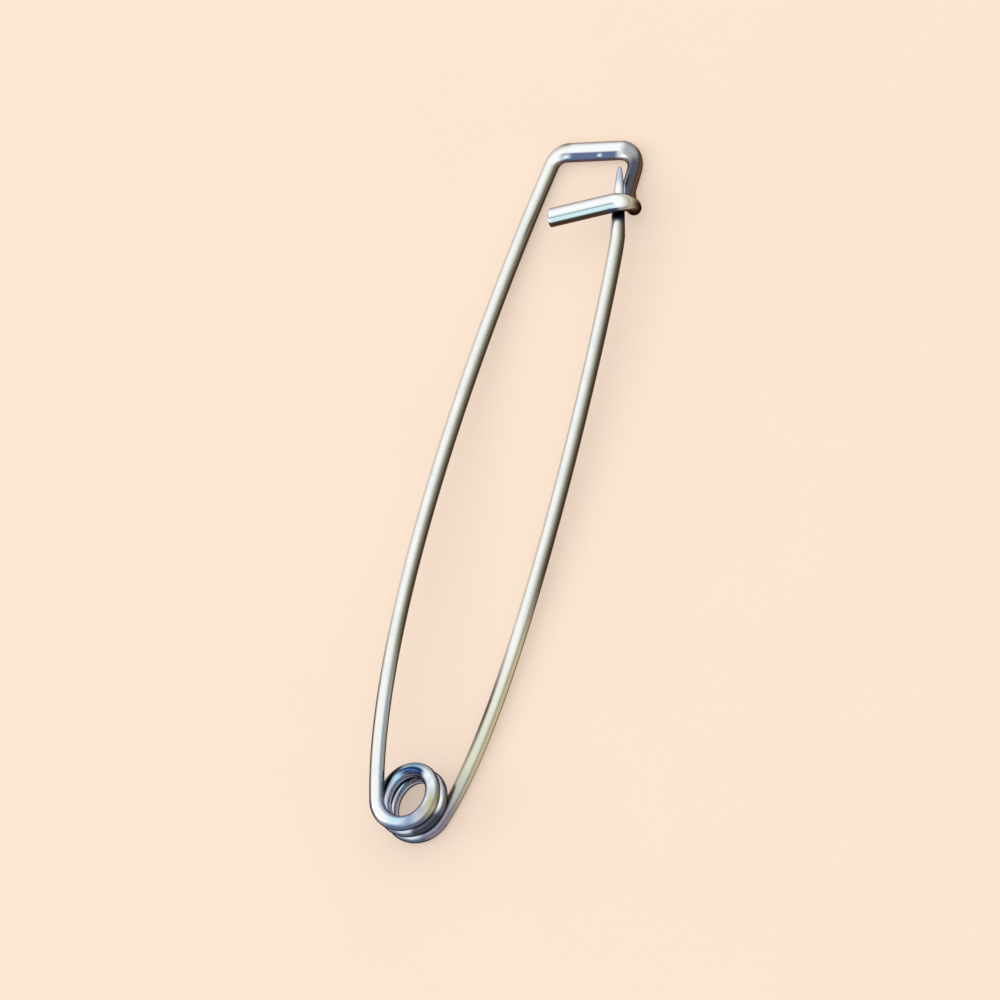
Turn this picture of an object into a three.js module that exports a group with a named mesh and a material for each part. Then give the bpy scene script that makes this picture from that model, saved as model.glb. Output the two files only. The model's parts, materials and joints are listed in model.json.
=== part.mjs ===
// A large safety pin, bent from one length of round spring wire.
// Millimetres, +Z up. The pin lies on Z = 0 with its coil at low Y and its catch at high Y.
// The wire is followed from the coil up the back arm, round the catch, and up the pin arm.
// Each functional length of it is a body of its own, meeting the next on a shared flat section.

import * as THREE from 'three';

// Wire
const wireDiameter = 2.6;
const wireSides = 12; // an even count of flats, so that one faces straight down

// Coil: it comes down in steps, level on its lower half and sloped on its upper half
const coilBore = 7.7;
const turnGap = 0.5; // air between a turn and the next
const wholeTurns = 2;
const backArmSplay = 17.4; // degrees that each arm leans outward where it leaves the coil
const pinArmSplay = 21.4;
const coilSteps = 60;

// Back arm, from the top of the coil down to the shoulder, which lies on the floor
const shoulderReach = 118.95; // from the coil's axis to the shoulder's corner, along Y
const shoulderOffset = 7.35; // the shoulder's corner, left of the coil's axis
const shoulderLean = 9.4; // degrees that the arm leans to the right as it meets the shoulder
const backArmBow = 0.27; // how far each end of the arm holds its direction, a share of its length
const shoulderInside = 1.9; // inside radius of the shoulder's bend

// Top bar, from the shoulder to the right corner
const barLength = 15.75;
const barSlope = 9.05; // degrees that the bar rises to the right
const cornerInside = 1.9;

// The bar and the tail are pressed a little flat, which makes them wider than the wire
const pressedWidth = 3.5;
const pressedThickness = 2;

// Drop, from the right corner down behind the point
const dropLength = 10.6;
const dropLean = 1.85; // degrees that it leans inward on its way down

// Catch: the hook curls from the drop round the pin arm's right side and over its front
const catchClearance = 0.3; // air between the catch and the pin arm
const hookOffset = 0.75; // the middle of the hook, right of the drop's aim
const hookDrop = 1.35; // the middle of the hook, below the drop's aim along Y
const hookSlope = 19.9; // degrees that the hook and the tail are turned from the X axis
const hookStart = 3.5; // where the drop starts to curl, short of its aim
const curlIn = 2.25; // how far the curl holds the drop's direction
const curlOut = 2; // how far back it holds the hook's
const wrapStart = 15; // degrees behind the arm's right side where the hook becomes round
const tailLength = 11.75; // from the middle of the pin arm to the tail's free end
const tailEndRound = 0.35; // rounding of the edge of the free end

// Pin arm and its point
const pointLean = 14; // degrees that the point leans inward
const pointReach = 7.8; // from the middle of the hook to the tip
const seamReach = 5; // from the middle of the hook down to where the wire starts to taper
const pointBluntness = 0.4; // power of the taper: 0.5 is round, 1 is a cone
const pinArmBow = 0.24; // how far the arm holds its direction at the coil, a share of its length
const pinArmEndBow = 0.045; // the same at the point

// Sizes worked out from these
const wireRadius = wireDiameter / 2;
const coilRadius = (coilBore + wireDiameter) / 2;
const coilPitch = wireDiameter + turnGap;
const coilTop = wireRadius + wholeTurns * coilPitch;
const pointLength = seamReach + pointReach;
const armRadiusInHook = taperRadius(pointReach);
const hookRadius = wireRadius + armRadiusInHook + catchClearance;
const hookHeight = wireRadius + wireDiameter + catchClearance; // the pin arm clears the wire behind it
const up = new THREE.Vector3(0, 0, 1);

// The point's radius at a distance from its tip
function taperRadius(fromTip) {
  return wireRadius * (fromTip / pointLength) ** pointBluntness;
}

const steel = (color, roughness) => new THREE.MeshStandardMaterial({ color, roughness, metalness: 1 });
const point = (x, y, z) => new THREE.Vector3(x, y, z);

// A direction in the XY plane, turned by an angle in degrees from +X or, for leanFromY, from +Y
function slope(degrees) {
  const angle = THREE.MathUtils.degToRad(degrees);
  return point(Math.cos(angle), Math.sin(angle), 0);
}

function leanFromY(degrees) {
  const angle = THREE.MathUtils.degToRad(degrees);
  return point(Math.sin(angle), Math.cos(angle), 0);
}

const along = (start, direction, distance) => start.clone().addScaledVector(direction, distance);

// The wire's route as points with their directions, which three.js sweeps a section along.
// The section keeps one flat facing down, except where a station names the way its side faces.
// A station may also widen and thin the section, by shares of the wire's diameter.
class WireRoute extends THREE.Curve {
  constructor(stations) {
    super();
    this.stations = stations;
  }

  getPoint(t) {
    const place = t * (this.stations.length - 1);
    const before = this.stations[Math.floor(place)].at;
    const after = this.stations[Math.ceil(place)].at;
    return before.clone().lerp(after, place % 1);
  }

  getSpacedPoints() {
    return this.stations.map((station) => station.at.clone());
  }

  computeFrenetFrames() {
    const tangents = this.stations.map((station) => station.direction.clone().normalize());
    const normals = tangents.map((tangent, index) => {
      const side = this.stations[index].side?.clone() ?? up.clone().cross(tangent);
      return side.addScaledVector(tangent, -side.dot(tangent)).normalize();
    });
    const binormals = tangents.map((tangent, index) => tangent.clone().cross(normals[index]));
    this.stations.forEach((station, index) => {
      normals[index].multiplyScalar(station.width ?? 1);
      binormals[index].multiplyScalar(station.thickness ?? 1);
    });
    return { tangents, normals, binormals };
  }
}

function wireSection() {
  const cornerRadius = wireRadius / Math.cos(Math.PI / wireSides);
  const corners = [];
  for (let index = 0; index < wireSides; index += 1) {
    const angle = ((index + 0.5) * 2 * Math.PI) / wireSides;
    corners.push(new THREE.Vector2(cornerRadius * Math.cos(angle), cornerRadius * Math.sin(angle)));
  }
  return new THREE.Shape(corners);
}

function sweepWire(stations) {
  const route = new WireRoute(stations);
  return new THREE.ExtrudeGeometry(wireSection(), { steps: stations.length - 1, extrudePath: route });
}

// Stations along a cubic curve that leaves and arrives in given directions
function cubicStations(start, startHandle, endHandle, end, steps) {
  const curve = new THREE.CubicBezierCurve3(start, start.clone().add(startHandle), end.clone().sub(endHandle), end);
  const stations = [];
  for (let step = 0; step <= steps; step += 1) {
    stations.push({ at: curve.getPoint(step / steps), direction: curve.getTangent(step / steps) });
  }
  stations[0].direction = startHandle.clone();
  stations[steps].direction = endHandle.clone();
  return stations;
}

// Stations round a bend of a given radius at a corner between two straight runs
function bendStations(before, corner, after, radius, steps) {
  const inward = corner.clone().sub(before).normalize();
  const outward = after.clone().sub(corner).normalize();
  const turn = inward.angleTo(outward);
  const start = along(corner, inward, -radius * Math.tan(turn / 2));
  const toCentre = outward.clone().addScaledVector(inward, -outward.dot(inward)).normalize();
  const centre = along(start, toCentre, radius);
  const stations = [];
  for (let step = 0; step <= steps; step += 1) {
    const angle = (turn * step) / steps;
    const at = along(along(centre, inward, radius * Math.sin(angle)), toCentre, -radius * Math.cos(angle));
    const direction = inward.clone().multiplyScalar(Math.cos(angle)).addScaledVector(toCentre, Math.sin(angle));
    stations.push({ at, direction });
  }
  return stations;
}

// A station pressed flat by a share from 0 to 1, and then trimmed all round by some millimetres
function pressed(station, share, trim = 0) {
  const { lerp, smoothstep } = THREE.MathUtils;
  const eased = smoothstep(share, 0, 1);
  const width = (lerp(wireDiameter, pressedWidth, eased) - 2 * trim) / wireDiameter;
  const thickness = (lerp(wireDiameter, pressedThickness, eased) - 2 * trim) / wireDiameter;
  return { ...station, width, thickness };
}

// The coil's centre line, by angle about its axis
const coilStart = THREE.MathUtils.degToRad(180 + backArmSplay);
const coilEnd = THREE.MathUtils.degToRad(360 * (wholeTurns + 1) - pinArmSplay);
const slopeStart = THREE.MathUtils.degToRad(360 - pinArmSplay);
const slopeEnd = THREE.MathUtils.degToRad(540 + backArmSplay);

function coilPoint(angle) {
  const turns = Math.min(Math.floor((angle - coilStart) / (2 * Math.PI)), wholeTurns);
  const share = (angle - 2 * Math.PI * turns - slopeStart) / (slopeEnd - slopeStart);
  const drop = THREE.MathUtils.smoothstep(share, 0, 1);
  const height = Math.max(coilTop - coilPitch * (turns + drop), wireRadius);
  return point(coilRadius * Math.cos(angle), coilRadius * Math.sin(angle), height);
}

function coilStations() {
  const stations = [];
  const nudge = 1e-4;
  for (let step = 0; step <= coilSteps; step += 1) {
    const angle = coilStart + ((coilEnd - coilStart) * step) / coilSteps;
    const ahead = coilPoint(Math.min(angle + nudge, coilEnd));
    const behind = coilPoint(Math.max(angle - nudge, coilStart));
    stations.push({ at: coilPoint(angle), direction: ahead.sub(behind) });
  }
  stations[0].direction = leanFromY(-backArmSplay).negate();
  stations[coilSteps].direction = leanFromY(pinArmSplay);
  return stations;
}

// The least air between the coil and its own next turn, measured on points of its centre line
function leastTurnGap() {
  const samples = 720;
  const span = coilEnd - coilStart;
  const points = [];
  for (let index = 0; index <= samples; index += 1) {
    points.push(coilPoint(coilStart + (span * index) / samples));
  }
  const halfTurn = Math.round((samples * Math.PI) / span);
  let least = Infinity;
  for (let first = 0; first <= samples; first += 1) {
    for (let second = first + halfTurn; second <= samples; second += 1) {
      least = Math.min(least, points[first].distanceTo(points[second]));
    }
  }
  return least - wireDiameter;
}

// Corners of the frame
const shoulder = point(-shoulderOffset, shoulderReach, wireRadius);
const corner = along(shoulder, slope(barSlope), barLength);
const hookSide = slope(hookSlope);
const dropAim = along(corner, leanFromY(dropLean), -dropLength);
const hookMiddle = point(dropAim.x + hookOffset, dropAim.y - hookDrop, hookHeight);
const shoulderDirection = leanFromY(shoulderLean);

// The frame's lengths of wire, in order from the coil
const coil = coilStations();
const backStart = coil[0].at;
const shoulderBend = bendStations(
  along(shoulder, shoulderDirection, -barLength), shoulder, corner, wireRadius + shoulderInside, 6,
);
const cornerBend = bendStations(shoulder, corner, dropAim, wireRadius + cornerInside, 7);
const backSpan = shoulderBend[0].at.distanceTo(backStart);
const backArm = cubicStations(
  backStart,
  leanFromY(-backArmSplay).multiplyScalar(backSpan * backArmBow),
  shoulderDirection.clone().multiplyScalar(backSpan * backArmBow),
  shoulderBend[0].at,
  26,
);
const topBar = [
  ...shoulderBend.map((station, index) => pressed(station, index / (shoulderBend.length - 1))),
  ...cornerBend.map((station, index) => pressed(station, 1 - index / (cornerBend.length - 1))),
];

const dropDirection = dropAim.clone().sub(corner).normalize();
const dropEnd = along(dropAim, dropDirection, -hookStart);
const catchDrop = [
  cornerBend[cornerBend.length - 1],
  { at: dropEnd, direction: dropDirection },
];

// A round stretch of the hook about the pin arm, by degrees from the arm's right side to its front
const hookAcross = up.clone().cross(hookSide);

function wrapStation(degrees) {
  const angle = THREE.MathUtils.degToRad(degrees);
  const outward = hookSide.clone().multiplyScalar(Math.cos(angle)).addScaledVector(up, Math.sin(angle));
  const direction = up.clone().multiplyScalar(Math.cos(angle)).addScaledVector(hookSide, -Math.sin(angle));
  return { at: along(hookMiddle, outward, hookRadius), direction, side: hookAcross };
}

const wrapSteps = 8;
const wrap = [];
for (let step = 0; step <= wrapSteps; step += 1) {
  const share = step / wrapSteps;
  wrap.push(pressed(wrapStation(-wrapStart + (90 + wrapStart) * share), share));
}
const curl = cubicStations(
  dropEnd,
  dropDirection.clone().multiplyScalar(curlIn),
  wrap[0].direction.clone().multiplyScalar(curlOut),
  wrap[0].at,
  9,
);
curl.forEach((station, index) => {
  station.side = up.clone().lerp(hookAcross, index / (curl.length - 1));
});
const catchHook = [...curl, ...wrap.slice(1)];
const hookFront = wrap[wrapSteps].at;

// The pin arm ends where the taper starts, already in line with the point
const pointDirection = leanFromY(-pointLean);
const pinStart = coil[coil.length - 1].at;
const pinEnd = along(hookMiddle, pointDirection, -seamReach);
const pinSpan = pinEnd.distanceTo(pinStart);
const pinArm = cubicStations(
  pinStart,
  leanFromY(pinArmSplay).multiplyScalar(pinSpan * pinArmBow),
  pointDirection.clone().multiplyScalar(pinSpan * pinArmEndBow),
  pinEnd,
  26,
);

// A piece turned about its own axis, stood on its base and then aimed along the wire
function turnedPiece(profile, base, direction) {
  const geometry = new THREE.LatheGeometry(profile, wireSides);
  const aim = new THREE.Quaternion().setFromUnitVectors(new THREE.Vector3(0, 1, 0), direction);
  geometry.applyQuaternion(aim);
  geometry.translate(base.x, base.y, base.z);
  return geometry;
}

// Lathe radii reach the corners of the section, as the swept wire's do
const cornerReach = 1 / Math.cos(Math.PI / wireSides);

function pointGeometry() {
  const profile = [new THREE.Vector2(0, 0)];
  const rings = 12;
  for (let ring = 0; ring <= rings; ring += 1) {
    const left = (1 - ring / rings) ** 2; // rings crowd towards the tip
    profile.push(new THREE.Vector2(cornerReach * taperRadius(pointLength * left), pointLength * (1 - left)));
  }
  return turnedPiece(profile, pinEnd, pointDirection);
}

// The tail, with a rounded edge at its free end
const tailDirection = hookSide.clone().negate();
const tail = [wrap[wrapSteps]];
const tailRoundSteps = 3;
for (let step = 0; step <= tailRoundSteps; step += 1) {
  const angle = (step / tailRoundSteps) * (Math.PI / 2);
  const at = along(hookFront, tailDirection, tailLength - tailEndRound * (1 - Math.sin(angle)));
  const station = { at, direction: tailDirection, side: hookAcross };
  tail.push(pressed(station, 1, tailEndRound * (1 - Math.cos(angle))));
}

const pin = new THREE.Group();

function addPiece(name, geometry, material) {
  const mesh = new THREE.Mesh(geometry, material);
  mesh.name = name;
  pin.add(mesh);
}

addPiece('spring_coil', sweepWire(coil), steel(0xbfc1c6, 0.24));
addPiece('back_arm', sweepWire(backArm), steel(0xc9c9c4, 0.22));
addPiece('top_bar', sweepWire(topBar), steel(0xc2c3c8, 0.22));
addPiece('catch_drop', sweepWire(catchDrop), steel(0xb9b9bd, 0.24));
addPiece('catch_hook', sweepWire(catchHook), steel(0xb4b4b6, 0.26));
addPiece('guard_tail', sweepWire(tail), steel(0xc4c6c8, 0.22));
addPiece('pin_arm', sweepWire(pinArm), steel(0xc9c8c2, 0.22));
addPiece('pin_point', pointGeometry(), steel(0xcccbc6, 0.2));

// The origin is the middle of the floor under the whole pin
const box = new THREE.Box3().setFromObject(pin, true);
const middle = box.getCenter(new THREE.Vector3());
pin.position.set(-middle.x, -middle.y, -box.min.z);

console.log('least gap between turns of the coil, mm:', leastTurnGap().toFixed(3));

export default pin;
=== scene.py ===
import json
import math
import bpy
from mathutils import Matrix, Vector


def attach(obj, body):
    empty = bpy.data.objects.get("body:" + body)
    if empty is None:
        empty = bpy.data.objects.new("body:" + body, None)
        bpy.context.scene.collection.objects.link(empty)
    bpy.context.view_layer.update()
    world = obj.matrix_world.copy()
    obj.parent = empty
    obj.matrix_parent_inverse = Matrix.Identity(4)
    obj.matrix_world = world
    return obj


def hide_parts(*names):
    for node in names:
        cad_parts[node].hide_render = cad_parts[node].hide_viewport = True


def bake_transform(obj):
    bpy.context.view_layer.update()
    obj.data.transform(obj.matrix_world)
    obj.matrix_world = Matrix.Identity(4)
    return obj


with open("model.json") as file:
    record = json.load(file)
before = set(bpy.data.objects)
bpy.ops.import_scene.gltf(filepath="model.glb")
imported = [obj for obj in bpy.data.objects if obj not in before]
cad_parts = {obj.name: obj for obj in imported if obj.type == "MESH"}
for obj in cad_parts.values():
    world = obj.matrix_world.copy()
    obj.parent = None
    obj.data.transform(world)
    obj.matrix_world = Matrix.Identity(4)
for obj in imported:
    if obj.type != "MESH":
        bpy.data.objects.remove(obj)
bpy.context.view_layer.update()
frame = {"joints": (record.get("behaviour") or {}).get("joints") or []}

up = Vector((0, 0, 1))
mm = 0.001

# The pin is one round wire. Sizes are in millimetres here and become metres in place().
wire = {"diameter": 2.6, "sides": 40}
coil = {
    "bore": 7.7,
    "turnGap": 0.5,
    "turns": 2,
    "backArmSplay": 17.4,
    "pinArmSplay": 21.4,
    "degreesPerRing": 3,
    "probeDegrees": 0.01,
}
backArm = {
    "reach": 118.95,
    "offset": 7.35,
    "lean": 9.4,
    "bow": 0.27,
    "rings": 110,
}
topBar = {
    "length": 15.75,
    "slope": 9.05,
    "shoulderInside": 1.9,
    "cornerInside": 1.9,
    "degreesPerRing": 4,
}
pressed = {"width": 3.5, "thickness": 2}
catch = {
    "dropLength": 10.6,
    "dropLean": 1.85,
    "clearance": 0.3,
    "offset": 0.75,
    "drop": 1.35,
    "slope": 19.9,
    "curlStart": 3.5,
    "curlIn": 2.25,
    "curlOut": 2,
    "wrapStart": 15,
    "tailLength": 11.75,
    "tailEndRound": 0.35,
    "dropRings": 6,
    "curlRings": 30,
    "wrapRings": 32,
    "tailEndRings": 8,
}
pinArm = {"bow": 0.24, "endBow": 0.045, "rings": 100}
pinPoint = {"lean": 14, "reach": 7.8, "seam": 5, "bluntness": 0.4, "rings": 60}

radius = wire["diameter"] / 2
coilRadius = (coil["bore"] + wire["diameter"]) / 2
coilPitch = wire["diameter"] + coil["turnGap"]
coilTop = radius + coil["turns"] * coilPitch
pointLength = pinPoint["seam"] + pinPoint["reach"]

# The coil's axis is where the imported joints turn
coilAxis = Vector(frame["joints"][0]["pos_m"])
coilAxis.z = 0


def place(point):
    return coilAxis + Vector(point) * mm


def slopeWay(degrees):
    angle = math.radians(degrees)
    return Vector((math.cos(angle), math.sin(angle), 0))


def leanWay(degrees):
    angle = math.radians(degrees)
    return Vector((math.sin(angle), math.cos(angle), 0))


def taperRadius(fromTip):
    return radius * (fromTip / pointLength) ** pinPoint["bluntness"]


def smooth(share):
    share = min(max(share, 0), 1)
    return share * share * (3 - 2 * share)


# A ring of the wire: where its middle is, which way the wire runs and which way its side faces,
# how far it reaches that way and across it, and how its surface flares towards the end
def ring(at, way, size=radius, flare=0.0):
    way = Vector(way).normalized()
    return {
        "at": Vector(at),
        "way": way,
        "side": up.cross(way),
        "across": size,
        "through": size,
        "flare": flare,
    }


# The bar and the tail are pressed a little flat, by a share from 0 to 1
def pressRing(item, share, trim=0.0):
    eased = smooth(share)
    item["across"] = radius + (pressed["width"] / 2 - radius) * eased - trim
    item["through"] = radius + (pressed["thickness"] / 2 - radius) * eased - trim
    return item


def bezierRings(start, startHandle, endHandle, end, count):
    corners = [start, start + startHandle, end - endHandle, end]
    rings = []
    for step in range(count + 1):
        t = step / count
        u = 1 - t
        at = corners[0] * u**3 + corners[1] * 3 * u * u * t
        at = at + corners[2] * 3 * u * t * t + corners[3] * t**3
        way = (corners[1] - corners[0]) * u * u + (corners[2] - corners[1]) * 2 * u * t
        way = way + (corners[3] - corners[2]) * t * t
        rings.append(ring(at, way))
    return rings


def bendRings(before, corner, after, bendRadius):
    inward = (corner - before).normalized()
    outward = (after - corner).normalized()
    turn = inward.angle(outward)
    start = corner - inward * bendRadius * math.tan(turn / 2)
    toCentre = (outward - inward * outward.dot(inward)).normalized()
    centre = start + toCentre * bendRadius
    count = math.ceil(math.degrees(turn) / topBar["degreesPerRing"])
    rings = []
    for step in range(count + 1):
        angle = turn * step / count
        at = centre + inward * bendRadius * math.sin(angle) - toCentre * bendRadius * math.cos(angle)
        rings.append(ring(at, inward * math.cos(angle) + toCentre * math.sin(angle)))
    return rings


def straightRings(start, end, count):
    return [ring(start.lerp(end, step / count), end - start) for step in range(count + 1)]


# The coil comes down in steps: level on its lower half, sloped on its upper half
coilStart = 180 + coil["backArmSplay"]
coilEnd = 360 * (coil["turns"] + 1) - coil["pinArmSplay"]
slopeStart = 360 - coil["pinArmSplay"]
slopeEnd = 540 + coil["backArmSplay"]


def coilPoint(degrees):
    turns = min(math.floor((degrees - coilStart) / 360), coil["turns"])
    share = smooth((degrees - 360 * turns - slopeStart) / (slopeEnd - slopeStart))
    height = max(coilTop - coilPitch * (turns + share), radius)
    angle = math.radians(degrees)
    return Vector((coilRadius * math.cos(angle), coilRadius * math.sin(angle), height))


def coilRings(startDegrees, endDegrees):
    count = math.ceil((endDegrees - startDegrees) / coil["degreesPerRing"])
    rings = []
    for step in range(count + 1):
        degrees = startDegrees + (endDegrees - startDegrees) * step / count
        ahead = coilPoint(min(degrees + coil["probeDegrees"], coilEnd))
        behind = coilPoint(max(degrees - coil["probeDegrees"], coilStart))
        rings.append(ring(coilPoint(degrees), ahead - behind))
    return rings


# Sweeps a round section along rings, with its own normals, and records each point's place on
# the straightened wire, which the metal's drawing marks follow
def sweepWire(name, rings, startLength=0.0):
    sides = wire["sides"]
    vertices = []
    normals = []
    wirePlaces = []
    length = startLength
    previous = None
    for item in rings:
        if previous is not None:
            length += (item["at"] - previous).length
        previous = item["at"]
        way = item["way"]
        side = (item["side"] - way * item["side"].dot(way)).normalized()
        other = way.cross(side)
        for index in range(sides):
            angle = 2 * math.pi * index / sides
            sideways = side * math.cos(angle)
            upwards = other * math.sin(angle)
            vertices.append(place(item["at"] + sideways * item["across"] + upwards * item["through"]))
            outward = (sideways * item["through"] + upwards * item["across"]).normalized()
            outward = outward * math.cos(item["flare"]) + way * math.sin(item["flare"])
            normals.append(outward.normalized())
            wirePlaces.append((radius * math.cos(angle), radius * math.sin(angle), length))
    faces = []
    faceNormals = []
    for row in range(len(rings) - 1):
        near = row * sides
        far = near + sides
        for index in range(sides):
            after = (index + 1) % sides
            face = (near + index, near + after, far + after, far + index)
            faces.append(face)
            faceNormals.append([normals[corner] for corner in face])
    last = (len(rings) - 1) * sides
    faces.append(tuple(reversed(range(sides))))
    faceNormals.append([-rings[0]["way"]] * sides)
    faces.append(tuple(last + index for index in range(sides)))
    faceNormals.append([rings[-1]["way"]] * sides)
    mesh = bpy.data.meshes.new(name)
    mesh.from_pydata(vertices, [], faces)
    mesh.shade_smooth()
    mesh.normals_split_custom_set([tuple(normal) for group in faceNormals for normal in group])
    attribute = mesh.attributes.new("wirePlace", "FLOAT_VECTOR", "POINT")
    attribute.data.foreach_set("vector", [value for spot in wirePlaces for value in spot])
    piece = bpy.data.objects.new(name, mesh)
    bpy.context.scene.collection.objects.link(piece)
    return piece, length


# Corners of the frame, as in the part
shoulder = Vector((-backArm["offset"], backArm["reach"], radius))
corner = shoulder + slopeWay(topBar["slope"]) * topBar["length"]
hookSide = slopeWay(catch["slope"])
hookAcross = up.cross(hookSide)
dropAim = corner - leanWay(catch["dropLean"]) * catch["dropLength"]
dropWay = (dropAim - corner).normalized()
dropEnd = dropAim - dropWay * catch["curlStart"]
hookRadius = radius + taperRadius(pinPoint["reach"]) + catch["clearance"]
hookMiddle = Vector((dropAim.x + catch["offset"], dropAim.y - catch["drop"], 0))
hookMiddle.z = radius + wire["diameter"] + catch["clearance"]


# The hook's rings face across the hook, so that the pressed section isn't twisted on its way round
def wrapRing(share):
    angle = math.radians((90 + catch["wrapStart"]) * share - catch["wrapStart"])
    outward = hookSide * math.cos(angle) + up * math.sin(angle)
    way = up * math.cos(angle) - hookSide * math.sin(angle)
    item = pressRing(ring(hookMiddle + outward * hookRadius, way), share)
    item["side"] = hookAcross
    return item


def makeBackArm(length):
    shoulderWay = leanWay(backArm["lean"])
    start = coilPoint(coilStart)
    bend = bendRings(
        shoulder - shoulderWay * topBar["length"], shoulder, corner, radius + topBar["shoulderInside"]
    )
    span = (bend[0]["at"] - start).length
    armRings = bezierRings(
        start,
        leanWay(-coil["backArmSplay"]) * span * backArm["bow"],
        shoulderWay * span * backArm["bow"],
        bend[0]["at"],
        backArm["rings"],
    )
    arm, length = sweepWire("back_arm_wire", armRings, length)
    cornerBend = bendRings(shoulder, corner, dropAim, radius + topBar["cornerInside"])
    for index, item in enumerate(bend):
        pressRing(item, index / (len(bend) - 1))
    for index, item in enumerate(cornerBend):
        pressRing(item, 1 - index / (len(cornerBend) - 1))
    bar, length = sweepWire("top_bar_wire", bend + cornerBend, length)
    dropRings = straightRings(cornerBend[-1]["at"], dropEnd, catch["dropRings"])
    drop, length = sweepWire("catch_drop_wire", dropRings, length)
    return arm, bar, drop, length


def makeHook(length):
    count = catch["wrapRings"]
    wrap = [wrapRing(step / count) for step in range(count + 1)]
    curl = bezierRings(
        dropEnd,
        dropWay * catch["curlIn"],
        wrap[0]["way"] * catch["curlOut"],
        wrap[0]["at"],
        catch["curlRings"],
    )
    for index, item in enumerate(curl):
        item["side"] = up.lerp(hookAcross, index / (len(curl) - 1))
    return sweepWire("catch_hook_wire", curl + wrap[1:], length)


def makeTail(length):
    start = hookMiddle + up * hookRadius
    way = -hookSide
    end = start + way * catch["tailLength"]
    roundSize = catch["tailEndRound"]
    rings = [pressRing(ring(start, way), 1)]
    count = catch["tailEndRings"]
    for step in range(count + 1):
        angle = step / count * math.pi / 2
        at = end - way * roundSize * (1 - math.sin(angle))
        rings.append(pressRing(ring(at, way, flare=angle), 1, roundSize * (1 - math.cos(angle))))
    return sweepWire("guard_tail_wire", rings, length)


def makePinArm(length):
    way = leanWay(-pinPoint["lean"])
    start = coilPoint(coilEnd)
    end = hookMiddle - way * pinPoint["seam"]
    span = (end - start).length
    rings = bezierRings(
        start,
        leanWay(coil["pinArmSplay"]) * span * pinArm["bow"],
        way * span * pinArm["endBow"],
        end,
        pinArm["rings"],
    )
    return sweepWire("pin_arm_wire", rings, length)


def makePoint(length):
    way = leanWay(-pinPoint["lean"])
    base = hookMiddle - way * pinPoint["seam"]
    rings = []
    count = pinPoint["rings"]
    for step in range(count):
        fromTip = pointLength * (1 - step / count) ** 2
        size = taperRadius(fromTip)
        flare = math.atan(pinPoint["bluntness"] * size / fromTip)
        rings.append(ring(base + way * (pointLength - fromTip), way, size, flare))
    return sweepWire("pin_point_wire", rings, length)


# Bright plate over drawn wire: fine lines along it from drawing, small scuffs from use, and
# layers of tone, mostly painted shade, painted highlights and painted reflections, with some random
# tone
plate = {
    "dull": 0.93,
    "roughLow": 0.18,
    "roughHigh": 0.32,
    "drawingScale": 2.2,
    "drawingStretch": 0.012,
    "scuffScale": 5.4,
    "patchScale": 0.22,
    "drawingDetail": 6,
    "scuffDetail": 8,
    "patchDetail": 4,
    "marksFrom": 0.14,
    "marksTo": 0.36,
    "wearFrom": 0.14,
    "wearTo": 0.4,
    "bump": 0.1,
    "bumpHeight": 0.00004,
    "scuffShare": 0.3,
    "edgeTint": (0.3, 0.28, 0.27, 1),
}

# Sides of the wire that the painted light and shade follow, as fixed directions on the pin: the
# plate is painted bright on top and painted dark underneath and on its sides
topOfArms = (0.13, -0.33, 0.94)
topOfBar = (0.29, 0.37, 0.88)
leftOfArms = (-0.97, -0.18, 0.16)
rightOfArms = (0.88, 0.25, -0.4)
towardsCoil = (0.11, -0.93, -0.34)
farSide = (-0.11, 0.93, 0.34)


def addNode(tree, kind, x, y, **values):
    node = tree.nodes.new(kind)
    node.location = (x, y)
    for key, value in values.items():
        setattr(node, key, value)
    return node


def mathNode(tree, operation, x, y, first, second=None, clamp=False):
    node = addNode(tree, "ShaderNodeMath", x, y, operation=operation, use_clamp=clamp)
    for socket, value in zip(node.inputs, (first, second)):
        if value is None:
            continue
        if isinstance(value, (int, float)):
            socket.default_value = value
        else:
            tree.links.new(value, socket)
    return node.outputs[0]


def mixColour(tree, x, y, share, first, second):
    node = addNode(tree, "ShaderNodeMix", x, y, data_type="RGBA")
    for socket, value in ((node.inputs[0], share), (node.inputs[6], first), (node.inputs[7], second)):
        if isinstance(value, (int, float, tuple)):
            socket.default_value = value
        else:
            tree.links.new(value, socket)
    return node.outputs[2]


def rangeNode(tree, x, y, value, low, high, newLow, newHigh):
    node = addNode(tree, "ShaderNodeMapRange", x, y, interpolation_type="SMOOTHSTEP")
    tree.links.new(value, node.inputs[0])
    for socket, number in zip(node.inputs[1:5], (low, high, newLow, newHigh)):
        socket.default_value = number
    return node.outputs[0]


# How far a layer of tone applies at each spot, as the product of its limits. A limit is a source
# with the values where the tone starts and is full; near limits have a middle and a half width.
def layerShare(tree, sources, limits, x, y):
    share = None
    for kind, source, first, second in limits:
        if isinstance(source, tuple):
            facing = addNode(tree, "ShaderNodeVectorMath", x, y, operation="DOT_PRODUCT")
            tree.links.new(sources["normal"], facing.inputs[0])
            facing.inputs[1].default_value = source
            value = facing.outputs["Value"]
        else:
            value = sources[source]
            if source in "xyz":
                offset = coilAxis["xyz".index(source)]
                first = first * mm + offset
                second = second * mm + (offset if kind == "from" else 0)
        if kind == "near":
            away = mathNode(tree, "SUBTRACT", x + 150, y, value, first)
            away = mathNode(tree, "ABSOLUTE", x + 300, y, away)
            amount = rangeNode(tree, x + 450, y, away, 0, second, 1, 0)
        else:
            amount = rangeNode(tree, x + 450, y, value, first, second, 0, 1)
        share = amount if share is None else mathNode(tree, "MULTIPLY", x + 600, y, share, amount)
        y -= 170
    return share, y


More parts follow.
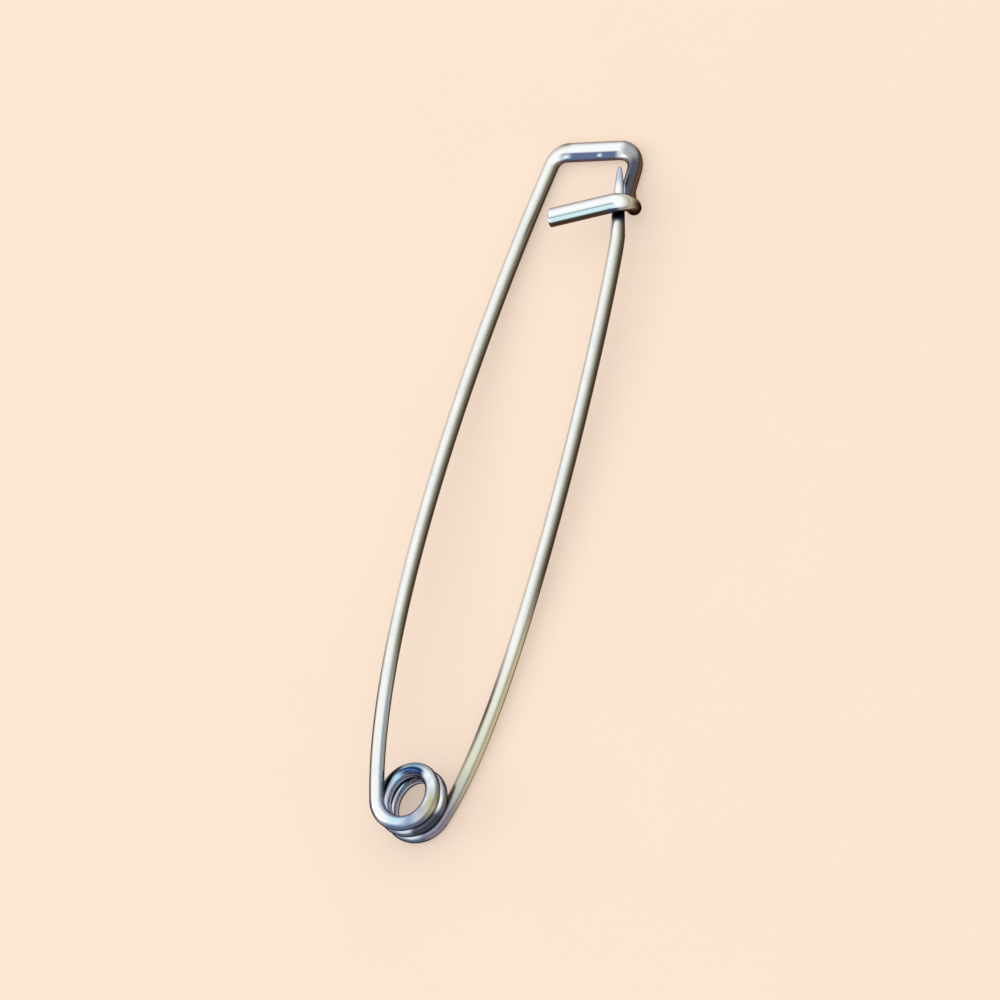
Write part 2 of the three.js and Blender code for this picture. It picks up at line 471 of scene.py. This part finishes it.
def platedWire(name, base, layers, **changes):
    look = {**plate, **changes}
    material = bpy.data.materials.new(name)
    material.use_nodes = True
    tree = material.node_tree
    tree.nodes.clear()
    output = addNode(tree, "ShaderNodeOutputMaterial", 2600, 0)
    shader = addNode(tree, "ShaderNodeBsdfPrincipled", 2300, 0)
    tree.links.new(shader.outputs[0], output.inputs[0])
    shader.inputs["Metallic"].default_value = 1.0
    shader.inputs["Specular Tint"].default_value = look["edgeTint"]

    onWire = addNode(tree, "ShaderNodeAttribute", -1500, 0, attribute_name="wirePlace")
    stretched = addNode(tree, "ShaderNodeMapping", -1250, 150)
    stretched.inputs["Scale"].default_value = (1, 1, look["drawingStretch"])
    tree.links.new(onWire.outputs["Vector"], stretched.inputs[0])
    noises = {}
    for key, scale, detail, vector in (
        ("drawing", look["drawingScale"], look["drawingDetail"], stretched.outputs[0]),
        ("patches", look["patchScale"], look["patchDetail"], onWire.outputs["Vector"]),
        ("scuffs", look["scuffScale"], look["scuffDetail"], onWire.outputs["Vector"]),
    ):
        noise = addNode(tree, "ShaderNodeTexNoise", -1000, 200 - 250 * len(noises))
        noise.inputs["Scale"].default_value = scale
        noise.inputs["Detail"].default_value = detail
        tree.links.new(vector, noise.inputs["Vector"])
        noises[key] = noise.outputs[0]

    coords = addNode(tree, "ShaderNodeTexCoord", -1500, 700)
    position = addNode(tree, "ShaderNodeSeparateXYZ", -1250, 700)
    tree.links.new(coords.outputs["Object"], position.inputs[0])
    section = addNode(tree, "ShaderNodeSeparateXYZ", -1250, 450)
    tree.links.new(onWire.outputs["Vector"], section.inputs[0])
    sources = {
        "normal": coords.outputs["Normal"],
        "x": position.outputs["X"],
        "y": position.outputs["Y"],
        "z": position.outputs["Z"],
        "inward": section.outputs["X"],
        **noises,
    }

    colour = base
    y = 1200
    for tone, strength, *limits in layers:
        share, y = layerShare(tree, sources, limits, -700, y)
        share = mathNode(tree, "MULTIPLY", 200, y, share, strength)
        colour = mixColour(tree, 500, y, share, colour, (*tone, 1))
    marks = addNode(tree, "ShaderNodeMix", 1700, 300, data_type="RGBA", blend_type="MULTIPLY")
    marks.inputs[0].default_value = 1.0
    tree.links.new(colour, marks.inputs[6])
    lines = mathNode(tree, "MULTIPLY", 1100, 100, noises["drawing"], noises["scuffs"])
    lines = rangeNode(tree, 1400, 100, lines, look["marksFrom"], look["marksTo"], look["dull"], 1.0)
    tree.links.new(lines, marks.inputs[7])
    tree.links.new(marks.outputs[2], shader.inputs["Base Color"])

    wear = mathNode(tree, "MULTIPLY", 1100, -250, noises["patches"], noises["scuffs"])
    rough = (look["roughLow"], look["roughHigh"])
    wear = rangeNode(tree, 1400, -250, wear, look["wearFrom"], look["wearTo"], *rough)
    tree.links.new(wear, shader.inputs["Roughness"])
    bump = addNode(tree, "ShaderNodeBump", 1700, -300)
    bump.inputs["Strength"].default_value = look["bump"]
    bump.inputs["Distance"].default_value = look["bumpHeight"]
    height = mathNode(tree, "MULTIPLY_ADD", 1400, -450, noises["scuffs"], look["scuffShare"])
    tree.links.new(noises["drawing"], height.node.inputs[2])
    tree.links.new(height, bump.inputs["Height"])
    tree.links.new(bump.outputs[0], shader.inputs["Normal"])
    return material


def finishPiece(piece, material, nodes, body=None, bend=None):
    piece.data.materials.append(material)
    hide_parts(*nodes)
    if bend:
        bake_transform(piece)
    else:
        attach(piece, body)


white = (0.95, 0.98, 0.98)
olive = (0.42, 0.43, 0.34)
brown = (0.07, 0.055, 0.04)
darkBrown = (0.06, 0.042, 0.033)
# Painted shade: a dark brown for the side of the bar's corner and of the catch that faces right
shadeBrown = (0.15, 0.09, 0.058)
navy = (0.12, 0.16, 0.28)
slate = (0.08, 0.09, 0.12)
shadeNavy = (0.06, 0.06, 0.12)
# Painted shade on the back arm: blue-grey, olive and brown on the side facing right and brown on the
# side facing left, darkest at the edges; the bluish patches are random tone
backArmPlate = platedWire(
    "backArmPlate",
    (0.94, 0.95, 0.92, 1),
    [
        ((0.78, 0.88, 0.92), 0.4, ("from", "patches", 0.48, 0.6)),
        ((0.45, 0.56, 0.63), 1, ("from", rightOfArms, 0.05, 0.45), ("from", "y", 32, 12)),
        (olive, 1, ("from", rightOfArms, -0.2, 0.42), ("from", "y", 12, 32)),
        (brown, 1, ("from", rightOfArms, 0.33, 0.8), ("from", "y", 12, 32)),
        (brown, 1, ("from", rightOfArms, 0.7, 0.93)),
        (brown, 1, ("from", leftOfArms, 0.4, 0.8), ("from", "y", 38, 12)),
    ],
    edgeTint=(0.6, 0.57, 0.52, 1),
)
# Painted shade on the pin arm: olive and brown on the side facing right, a dark band on the side
# facing left, and grey and lavender darkening where the arm goes into the coil; the bluish patches are
# random tone and the arm is yellower towards the coil
pinArmPlate = platedWire(
    "pinArmPlate",
    (0.94, 0.95, 0.92, 1),
    [
        ((0.78, 0.88, 0.92), 0.4, ("from", "patches", 0.48, 0.6), ("from", "y", 30, 50)),
        ((0.74, 0.76, 0.6), 1, ("from", "y", 34, 10)),
        ((0.62, 0.62, 0.46), 1, ("from", rightOfArms, 0.05, 0.45), ("from", "y", 50, 30)),
        ((0.5, 0.51, 0.45), 0.9, ("from", "y", 10, 3)),
        ((0.3, 0.29, 0.37), 0.9, ("from", "y", 4, -1)),
        (olive, 1, ("from", rightOfArms, -0.3, 0.33), ("from", "y", 28, 46)),
        (brown, 1, ("from", rightOfArms, 0.25, 0.75), ("from", "y", 28, 46)),
        (brown, 1, ("from", rightOfArms, 0.8, 0.95)),
        ((0.2, 0.17, 0.16), 1, ("from", leftOfArms, 0.1, 0.45), ("near", "y", 18, 15)),
    ],
    edgeTint=(0.6, 0.57, 0.52, 1),
)
shoulderLimits = (("from", leftOfArms, 0.4, 0.1), ("from", "x", -4, -6))
# Painted light and shade on the bar: grey on the far side, olive and brown inside the shoulder bend, a
# navy band on the side towards the coil with two painted highlights in it, darker towards the corner,
# slate on the corner, a dark underside and brown shade on the corner's side facing right
barPlate = platedWire(
    "barPlate",
    (*white, 1),
    [
        ((0.42, 0.42, 0.46), 0.9, ("from", farSide, 0.7, 0.9)),
        (olive, 1, ("from", topOfArms, 0.95, 0.7), *shoulderLimits),
        (brown, 1, ("from", topOfArms, 0.75, 0.3), *shoulderLimits),
        (
            navy,
            1,
            ("from", towardsCoil, -0.27, -0.14),
            ("from", "x", -6.6, -5.2),
            ("from", "x", 5.4, 3.8),
        ),
        # Two painted highlights (glints) in the navy band
        ((0.8, 0.92, 1), 1, ("near", topOfBar, 0.68, 0.2), ("near", "x", -5.1, 1.3)),
        ((0.8, 0.92, 1), 1, ("near", topOfBar, 0.68, 0.14), ("near", "x", 1.2, 0.7)),
        ((0.4, 0.41, 0.42), 1, ("from", "x", 4.4, 6.2)),
        (slate, 1, ("from", "x", 6.6, 8.2), ("from", "y", 120.8, 118.6)),
        (slate, 1, ("from", topOfBar, 0.7, 0.4), ("from", "x", 6, 7.5)),
        ((0.14, 0.1, 0.12), 1, ("from", towardsCoil, 0.32, 0.6)),
        (shadeBrown, 1, ("from", rightOfArms, 0.15, 0.55), ("from", "x", 6, 8)),
    ],
    roughLow=0.14,
    roughHigh=0.26,
)
# Painted light and shade on the catch: white where it meets the tail, grey on the far side, a painted
# cyan reflection and teal line on the side towards the coil, slate low on the drop, grey on the drop's
# left side with a painted highlight, olive, navy and dark brown shade underneath, and dark brown on
# the side facing right
catchPlate = platedWire(
    "catchPlate",
    (0.84, 0.83, 0.72, 1),
    [
        (white, 1, ("from", "x", 11.4, 10), ("from", "y", 112, 111)),
        ((0.42, 0.42, 0.46), 0.9, ("from", farSide, 0.7, 0.9), ("from", "x", 11, 9.5)),
        ((0.64, 0.85, 0.92), 1, ("from", towardsCoil, -0.18, -0.1), ("from", "x", 10.2, 9.2)),
        ((0.3, 0.46, 0.52), 1, ("near", towardsCoil, -0.2, 0.1), ("from", "x", 9.6, 9.1)),
        (slate, 1, ("from", "y", 110.5, 112), ("from", "z", 4.8, 3.8)),
        ((0.4, 0.38, 0.43), 0.9, ("from", leftOfArms, 0.2, 0.6), ("near", "y", 116, 3.5)),
        # A painted highlight on the drop's left side
        ((0.6, 0.82, 0.9), 1, ("from", leftOfArms, -0.2, 0.3), ("near", "y", 113.4, 1.3)),
        (olive, 0.9, ("from", topOfBar, 0.75, 0.45), ("from", "x", 9.5, 11), ("from", "y", 112, 111)),
        (
            shadeNavy,
            1,
            ("from", towardsCoil, 0.07, 0.25),
            ("from", "x", 11, 9.8),
            ("from", "y", 112, 111),
        ),
        (darkBrown, 1, ("from", topOfBar, 0.4, 0.1), ("from", "y", 112, 111)),
        (darkBrown, 1, ("from", rightOfArms, 0.4, 0.85), ("from", "y", 112, 110.5)),
        (shadeBrown, 1, ("from", rightOfArms, 0.15, 0.55), ("from", "y", 110.5, 112)),
    ],
    roughLow=0.14,
    roughHigh=0.28,
)
# Painted light and shade on the tail: grey on the far side, a painted cyan reflection and teal line on
# the side towards the coil, dark brown shade underneath, and navy shade underneath near the hook
tailPlate = platedWire(
    "tailPlate",
    (*white, 1),
    [
        ((0.42, 0.42, 0.46), 0.9, ("from", farSide, 0.7, 0.9)),
        ((0.64, 0.85, 0.92), 1, ("from", towardsCoil, -0.18, -0.1)),
        ((0.3, 0.46, 0.52), 1, ("near", towardsCoil, -0.2, 0.1)),
        (darkBrown, 1, ("from", towardsCoil, 0.07, 0.22)),
        ((0.15, 0.085, 0.05), 1, ("from", towardsCoil, 0.5, 0.9)),
        (shadeNavy, 1, ("from", towardsCoil, 0.07, 0.25), ("from", "x", 7.4, 8.8)),
    ],
    roughLow=0.14,
    roughHigh=0.26,
)
# Painted light and shade on the point: bluer towards the tip, blue-grey, olive and brown shade on the
# side facing right, and a painted shadow of the tail across it
pointPlate = platedWire(
    "pointPlate",
    (*white, 1),
    [
        ((0.56, 0.65, 0.85), 1, ("from", "y", 113, 115)),
        ((0.34, 0.44, 0.52), 1, ("from", rightOfArms, 0.4, 0.7), ("from", "y", 108, 110)),
        ((0.14, 0.2, 0.25), 1, ("from", rightOfArms, 0.75, 0.92), ("from", "y", 108, 110)),
        (olive, 1, ("from", rightOfArms, -0.3, 0.33), ("from", "y", 110, 108)),
        (brown, 1, ("from", rightOfArms, 0.25, 0.75), ("from", "y", 110, 108)),
        # Painted shadow: a dark band where the tail's shadow falls across the point, which stays on
        # the point when the pin is open
        ((0.03, 0.035, 0.07), 1, ("from", "y", 106.6, 107.6), ("from", "y", 110, 109)),
    ],
    drawingStretch=0.35,
    edgeTint=(0.6, 0.6, 0.6, 1),
)
# Painted light and shade on the coil: navy on the sides of the turns facing down and between them,
# slate and blue on the inner wall, dark patches on the lower turns, brown and dark edges on its sides,
# blue, cyan, lavender and olive painted reflections, and painted white and cyan highlights on the
# turns; the bluish patches are random tone
coilPlate = platedWire(
    "coilPlate",
    (0.93, 0.97, 0.98, 1),
    [
        ((0.56, 0.64, 0.78), 0.6, ("from", "patches", 0.48, 0.6)),
        (
            (0.3, 0.42, 0.58),
            1,
            ("near", "x", 2.7, 2.9),
            ("from", "y", -2.6, -4),
            ("from", "z", 6, 6.6),
        ),
        (
            (0.5, 0.8, 0.9),
            0.9,
            ("from", "inward", -0.9, 0.1),
            ("near", "x", 0, 2.8),
            ("from", "y", -2.8, -3.6),
            ("from", "z", 6, 6.6),
        ),
        ((0.45, 0.48, 0.62), 1, ("near", "x", 4.4, 2.4), ("near", "y", -2.8, 2.4)),
        ((0.2, 0.21, 0.29), 0.9, ("from", "x", 1, 3), ("from", "y", 0, -2), ("from", "z", 6, 5)),
        ((0.36, 0.62, 0.84), 1, ("near", "x", 0.2, 4), ("from", "y", 3.4, 4.6)),
        (
            (0.15, 0.18, 0.23),
            1,
            ("from", "x", -1.6, -3),
            ("from", "y", -0.8, 0.8),
            ("from", "z", 7.2, 6.4),
        ),
        (
            (0.13, 0.24, 0.46),
            1,
            ("from", "inward", -0.3, -0.9),
            ("from", "y", -2, -3.6),
            ("near", "x", 0, 4.4),
        ),
        (navy, 1, ("from", (0, 0, 1), 0.7, 0.45)),
        # A painted highlight on the lower turns
        (
            (0.88, 0.98, 1),
            1,
            ("near", (0, 0, 1), 0.74, 0.24),
            ("near", "x", 0.4, 2.4),
            ("from", "y", -3, -4.2),
            ("from", "z", 6.2, 5.6),
        ),
        (
            (0.5, 0.52, 0.36),
            1,
            ("from", "inward", 0.3, -0.4),
            ("near", "y", -1, 4),
            ("from", "x", 3.5, 4.6),
            ("from", "z", 5.8, 6.6),
        ),
        (
            (0.05, 0.06, 0.09),
            0.9,
            ("from", "x", 1.4, 2.6),
            ("from", "y", -1, -2.4),
            ("from", "z", 3.2, 4),
            ("from", "z", 6.4, 6),
        ),
        (brown, 1, ("from", leftOfArms, 0.4, 0.8), ("from", "x", -2.5, -4), ("from", "z", 6, 7)),
        (
            (0.2, 0.2, 0.16),
            0.9,
            ("from", rightOfArms, 0.4, 0.8),
            ("from", "x", 3.2, 4.4),
            ("from", "y", -2, 0.4),
        ),
        ((0.3, 0.29, 0.37), 0.9, ("from", "x", 2.6, 4.2), ("from", "z", 3.4, 2.4)),
        ((0.6, 0.65, 0.8), 0.9, ("from", "inward", 0.3, 0.9)),
        (
            (0.02, 0.045, 0.12),
            1,
            ("from", "inward", -0.4, 0),
            ("from", "inward", 1.1, 0.7),
            ("from", "x", 3.2, 1.8),
            ("from", "x", -3.8, -2.4),
            ("from", "y", 2.8, 4),
            ("from", "z", 4.4, 5.2),
        ),
        # A painted highlight (glint) on the inner wall
        (
            (0.45, 0.74, 0.9),
            1,
            ("from", "inward", 0, 0.5),
            ("near", "x", -3.1, 1.8),
            ("near", "y", 3.4, 2.4),
        ),
        ((0.04, 0.04, 0.09), 1, ("from", (0, 0, 1), 0.2, -0.1), ("from", "x", 4.4, 3.2)),
    ],
    roughLow=0.08,
    roughHigh=0.2,
    edgeTint=(0.2, 0.2, 0.28, 1),
)

# The coil in five stretches: level ones ride with a body, and the sloped ones stay where they are, on
# no body
rightSide = place((coilRadius, 0, 0))
leftSide = place((-coilRadius, 0, 0))
stretches = [
    ("coil_top_turn", coilStart, slopeStart, "frame", None),
    ("coil_upper_slope", slopeStart, slopeEnd, None, ("coil", "frame", leftSide, rightSide)),
    ("coil_middle_turn", slopeEnd, slopeStart + 360, "coil", None),
    ("coil_lower_slope", slopeStart + 360, slopeEnd + 360, None, ("coil", "pin", rightSide, leftSide)),
    ("coil_bottom_turn", slopeEnd + 360, coilEnd, "pin", None),
]
length = 0.0
for name, startDegrees, endDegrees, body, bend in stretches:
    piece, length = sweepWire(name, coilRings(startDegrees, endDegrees), length)
    finishPiece(piece, coilPlate, ["spring_coil"], body, bend)
print("coil done")

pinArmPiece, armLength = makePinArm(length)
finishPiece(pinArmPiece, pinArmPlate, ["pin_arm"], "pin")
pointPiece = makePoint(armLength)[0]
finishPiece(pointPiece, pointPlate, ["pin_point"], "pin")
# The frame's wire starts elsewhere in the pattern of marks, so that the arms aren't alike
marksShift = 200
backPiece, barPiece, dropPiece, dropLengthEnd = makeBackArm(length + marksShift)
finishPiece(backPiece, backArmPlate, ["back_arm"], "frame")
finishPiece(barPiece, barPlate, ["top_bar"], "frame")
finishPiece(dropPiece, catchPlate, ["catch_drop"], "frame")
hookPiece, hookLength = makeHook(dropLengthEnd)
finishPiece(hookPiece, catchPlate, ["catch_hook"], "frame")
tailPiece = makeTail(hookLength)[0]
finishPiece(tailPiece, tailPlate, ["guard_tail"], "frame")
print("arms and catch done")

# Floor
floorLook = {
    "size": 12.0,
    "colour": (0.982, 0.799, 0.651, 1),
    "roughness": 0.9,
    "glow": 0.5,
    "grainScale": 40,
    "grainFrom": 0.3,
    "grainTo": 0.7,
    "grainDarkening": 0.995,
}


def makeFloor():
    half = floorLook["size"] / 2
    mesh = bpy.data.meshes.new("floor")
    corners = [(-half, -half, 0), (half, -half, 0), (half, half, 0), (-half, half, 0)]
    mesh.from_pydata(corners, [], [(0, 1, 2, 3)])
    floor = bpy.data.objects.new("floor", mesh)
    bpy.context.scene.collection.objects.link(floor)
    material = bpy.data.materials.new("paleFloor")
    material.use_nodes = True
    tree = material.node_tree
    shader = tree.nodes["Principled BSDF"]
    shader.inputs["Roughness"].default_value = floorLook["roughness"]
    shader.inputs["Specular IOR Level"].default_value = 0.0
    coords = addNode(tree, "ShaderNodeTexCoord", -900, 0)
    grain = addNode(tree, "ShaderNodeTexNoise", -700, 0)
    grain.inputs["Scale"].default_value = floorLook["grainScale"]
    tree.links.new(coords.outputs["Object"], grain.inputs["Vector"])
    share = rangeNode(
        tree, -450, 0, grain.outputs[0], floorLook["grainFrom"], floorLook["grainTo"], 0, 1
    )
    softer = tuple(value * floorLook["grainDarkening"] for value in floorLook["colour"][:3]) + (1,)
    colour = mixColour(tree, -200, 0, share, floorLook["colour"], softer)
    tree.links.new(colour, shader.inputs["Base Color"])
    rays = addNode(tree, "ShaderNodeLightPath", -900, 500)
    seen = rays.outputs["Is Camera Ray"]
    seen = mathNode(tree, "ADD", -650, 450, seen, rays.outputs["Is Glossy Ray"])
    seen = mathNode(tree, "ADD", -450, 450, seen, rays.outputs["Is Transmission Ray"], clamp=True)
    glowShare = mathNode(tree, "MULTIPLY", -250, 450, seen, floorLook["glow"])
    glow = addNode(tree, "ShaderNodeEmission", 0, -300)
    tree.links.new(colour, glow.inputs["Color"])
    both = addNode(tree, "ShaderNodeMixShader", 350, 200)
    tree.links.new(glowShare, both.inputs[0])
    tree.links.new(shader.outputs[0], both.inputs[1])
    tree.links.new(glow.outputs[0], both.inputs[2])
    tree.links.new(both.outputs[0], tree.nodes["Material Output"].inputs["Surface"])
    mesh.materials.append(material)


makeFloor()

# Camera: looks at the pin from the photograph's side, turned about its own axis
view = {
    "azimuth": -29.23,
    "elevation": 57.95,
    "roll": -49.49,
    "pixelsPerMm": 5.861,
    "lens": 1400,
    "sensor": 36,
    "middle": (0, 52, 4.4),
    "right": 1.902,
    "above": 2.81,
    "pixels": 1000,
    "clipStart": 0.1,
    "clipEnd": 50,
}


def makeCamera():
    azimuth = math.radians(view["azimuth"])
    elevation = math.radians(view["elevation"])
    roll = math.radians(view["roll"])
    flat = math.cos(elevation)
    back = Vector((flat * math.cos(azimuth), flat * math.sin(azimuth), math.sin(elevation)))
    level = up.cross(back).normalized()
    steep = back.cross(level)
    right = level * math.cos(roll) + steep * math.sin(roll)
    above = steep * math.cos(roll) - level * math.sin(roll)
    target = place(Vector(view["middle"]) + right * view["right"] + above * view["above"])
    frameWidth = view["pixels"] / view["pixelsPerMm"] * mm
    distance = frameWidth * view["lens"] / view["sensor"]
    data = bpy.data.cameras.new("camera")
    data.lens = view["lens"]
    data.sensor_width = view["sensor"]
    data.clip_start = view["clipStart"]
    data.clip_end = view["clipEnd"]
    camera = bpy.data.objects.new("camera", data)
    bpy.context.scene.collection.objects.link(camera)
    turn = Matrix((right, above, back)).transposed().to_4x4()
    camera.matrix_world = Matrix.Translation(target + back * distance) @ turn
    bpy.context.scene.camera = camera


makeCamera()

# Light: a pale sky, brightest overhead, and a soft low lamp on the back arm's side
light = {
    "lampWatts": 1.0,
    "lampSize": 0.45,
    "lampDistance": 0.9,
    "lampWay": (-0.8, -0.3, 0.52),
    "skyWay": (-0.1, 0.0, 1.0),
    "skyBright": (1.02, 1.02, 1.02, 1),
    "skyDim": (0.5, 0.5, 0.52, 1),
    "skyFrom": 0.0,
    "skyTo": 0.7,
}


def makeLight():
    lampData = bpy.data.lights.new("lamp", "AREA")
    lampData.shape = "DISK"
    lampData.size = light["lampSize"]
    lampData.energy = light["lampWatts"]
    lamp = bpy.data.objects.new("lamp", lampData)
    bpy.context.scene.collection.objects.link(lamp)
    way = Vector(light["lampWay"]).normalized()
    lamp.location = place(view["middle"]) + way * light["lampDistance"]
    lamp.rotation_mode = "QUATERNION"
    lamp.rotation_quaternion = way.to_track_quat("Z", "Y")
    world = bpy.data.worlds.new("sky")
    world.use_nodes = True
    tree = world.node_tree
    coords = addNode(tree, "ShaderNodeTexCoord", -900, 0)
    towards = addNode(tree, "ShaderNodeVectorMath", -700, 0, operation="DOT_PRODUCT")
    tree.links.new(coords.outputs["Generated"], towards.inputs[0])
    towards.inputs[1].default_value = Vector(light["skyWay"]).normalized()
    share = rangeNode(tree, -500, 0, towards.outputs["Value"], light["skyFrom"], light["skyTo"], 0, 1)
    colour = mixColour(tree, -300, 0, share, light["skyDim"], light["skyBright"])
    tree.links.new(colour, tree.nodes["Background"].inputs[0])
    bpy.context.scene.world = world


makeLight()
bpy.context.scene.view_settings.view_transform = "Standard"
print("floor, camera and light done")
